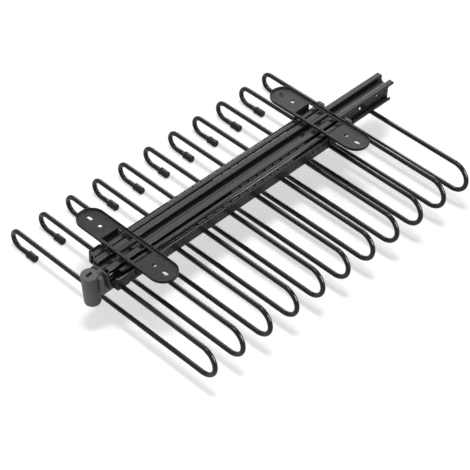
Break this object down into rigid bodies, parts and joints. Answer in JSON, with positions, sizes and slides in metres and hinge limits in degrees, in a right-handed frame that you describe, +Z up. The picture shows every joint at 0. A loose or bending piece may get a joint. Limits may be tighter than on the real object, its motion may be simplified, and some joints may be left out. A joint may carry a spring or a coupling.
{
  "type": "pull out trouser rack",
  "caption": "Wardrobe pull-out trouser rack: wire hangers with hooked, capped ends under a double ball-bearing slide with a round grip, hung from two slotted mounting plates.",
  "frame": {"origin": "centre of the four fixing slots, on the plane of the raised plate rims that the shelf above rests on", "axes": "+Z up, +Y to the back of the wardrobe, +X to the right of a person in front of it; the rack pulls out along -Y"},
  "size_m": [0.3369, 0.5027, 0.098],
  "materials": {
    "coated_plate_steel": "textured dark grey powder coat",
    "gloss_rail_steel": "glossy black e-coat",
    "coated_rail_steel": "satin grey coat",
    "black_plastic": "moulded, matt",
    "retainer_steel": "stamped strip",
    "ball_steel": "hardened balls",
    "grey_moulding": "fine satin moulding",
    "screw_steel": "zinc plated",
    "coated_wire": "semi-gloss black coat",
    "cap_rubber": "matt"
  },
  "bodies": {
    "fixed_slides": {"front_mounting_plate": "coated_plate_steel", "rear_mounting_plate": "coated_plate_steel", "left_outer_rail": "gloss_rail_steel", "left_front_cap": "black_plastic", "left_rear_buffer": "grey_moulding", "right_outer_rail": "gloss_rail_steel", "right_front_cap": "black_plastic", "right_rear_buffer": "grey_moulding"},
    "carrier": {"carrier_rail": "coated_rail_steel", "front_bracket": "grey_moulding", "grip": "grey_moulding", "grip_screw": "screw_steel", "hanger_01": "coated_wire", "hanger_02": "coated_wire", "hanger_03": "coated_wire", "hanger_04": "coated_wire", "hanger_05": "coated_wire", "hanger_06": "coated_wire", "hanger_07": "coated_wire", "hanger_08": "coated_wire", "hanger_09": "coated_wire", "hanger_10": "coated_wire", "hanger_11": "coated_wire", "hanger_cap_01": "cap_rubber", "hanger_cap_02": "cap_rubber", "hanger_cap_03": "cap_rubber", "hanger_cap_04": "cap_rubber", "hanger_cap_05": "cap_rubber", "hanger_cap_06": "cap_rubber", "hanger_cap_07": "cap_rubber", "hanger_cap_08": "cap_rubber", "hanger_cap_09": "cap_rubber", "hanger_cap_10": "cap_rubber", "hanger_cap_11": "cap_rubber"},
    "left_intermediate": {"left_intermediate_rail": "coated_rail_steel"},
    "left_outer_retainer": {"left_outer_ball_cage": "retainer_steel", "left_outer_balls": "ball_steel"},
    "left_inner_retainer": {"left_inner_ball_cage": "retainer_steel", "left_inner_balls": "ball_steel"},
    "right_intermediate": {"right_intermediate_rail": "coated_rail_steel"},
    "right_outer_retainer": {"right_outer_ball_cage": "retainer_steel", "right_outer_balls": "ball_steel"},
    "right_inner_retainer": {"right_inner_ball_cage": "retainer_steel", "right_inner_balls": "ball_steel"}
  },
  "joints": [
    {"name": "pull_out", "type": "slide", "parent": "fixed_slides", "child": "carrier", "axis": [0, -1, 0], "range_m": [0, 0.37]},
    {"name": "left_intermediate_slide", "type": "slide", "parent": "fixed_slides", "child": "left_intermediate", "axis": [0, -1, 0], "range_m": [0, 0.185]},
    {"name": "left_outer_retainer_slide", "type": "slide", "parent": "fixed_slides", "child": "left_outer_retainer", "axis": [0, -1, 0], "range_m": [0, 0.0925]},
    {"name": "left_inner_retainer_slide", "type": "slide", "parent": "fixed_slides", "child": "left_inner_retainer", "axis": [0, -1, 0], "range_m": [0, 0.2775]},
    {"name": "right_intermediate_slide", "type": "slide", "parent": "fixed_slides", "child": "right_intermediate", "axis": [0, -1, 0], "range_m": [0, 0.185]},
    {"name": "right_outer_retainer_slide", "type": "slide", "parent": "fixed_slides", "child": "right_outer_retainer", "axis": [0, -1, 0], "range_m": [0, 0.0925]},
    {"name": "right_inner_retainer_slide", "type": "slide", "parent": "fixed_slides", "child": "right_inner_retainer", "axis": [0, -1, 0], "range_m": [0, 0.2775]}
  ],
  "couplings": [
    {"joint": "left_intermediate_slide", "follows": "pull_out", "ratio": 0.5},
    {"joint": "left_outer_retainer_slide", "follows": "pull_out", "ratio": 0.25},
    {"joint": "left_inner_retainer_slide", "follows": "pull_out", "ratio": 0.75},
    {"joint": "right_intermediate_slide", "follows": "pull_out", "ratio": 0.5},
    {"joint": "right_outer_retainer_slide", "follows": "pull_out", "ratio": 0.25},
    {"joint": "right_inner_retainer_slide", "follows": "pull_out", "ratio": 0.75}
  ]
}
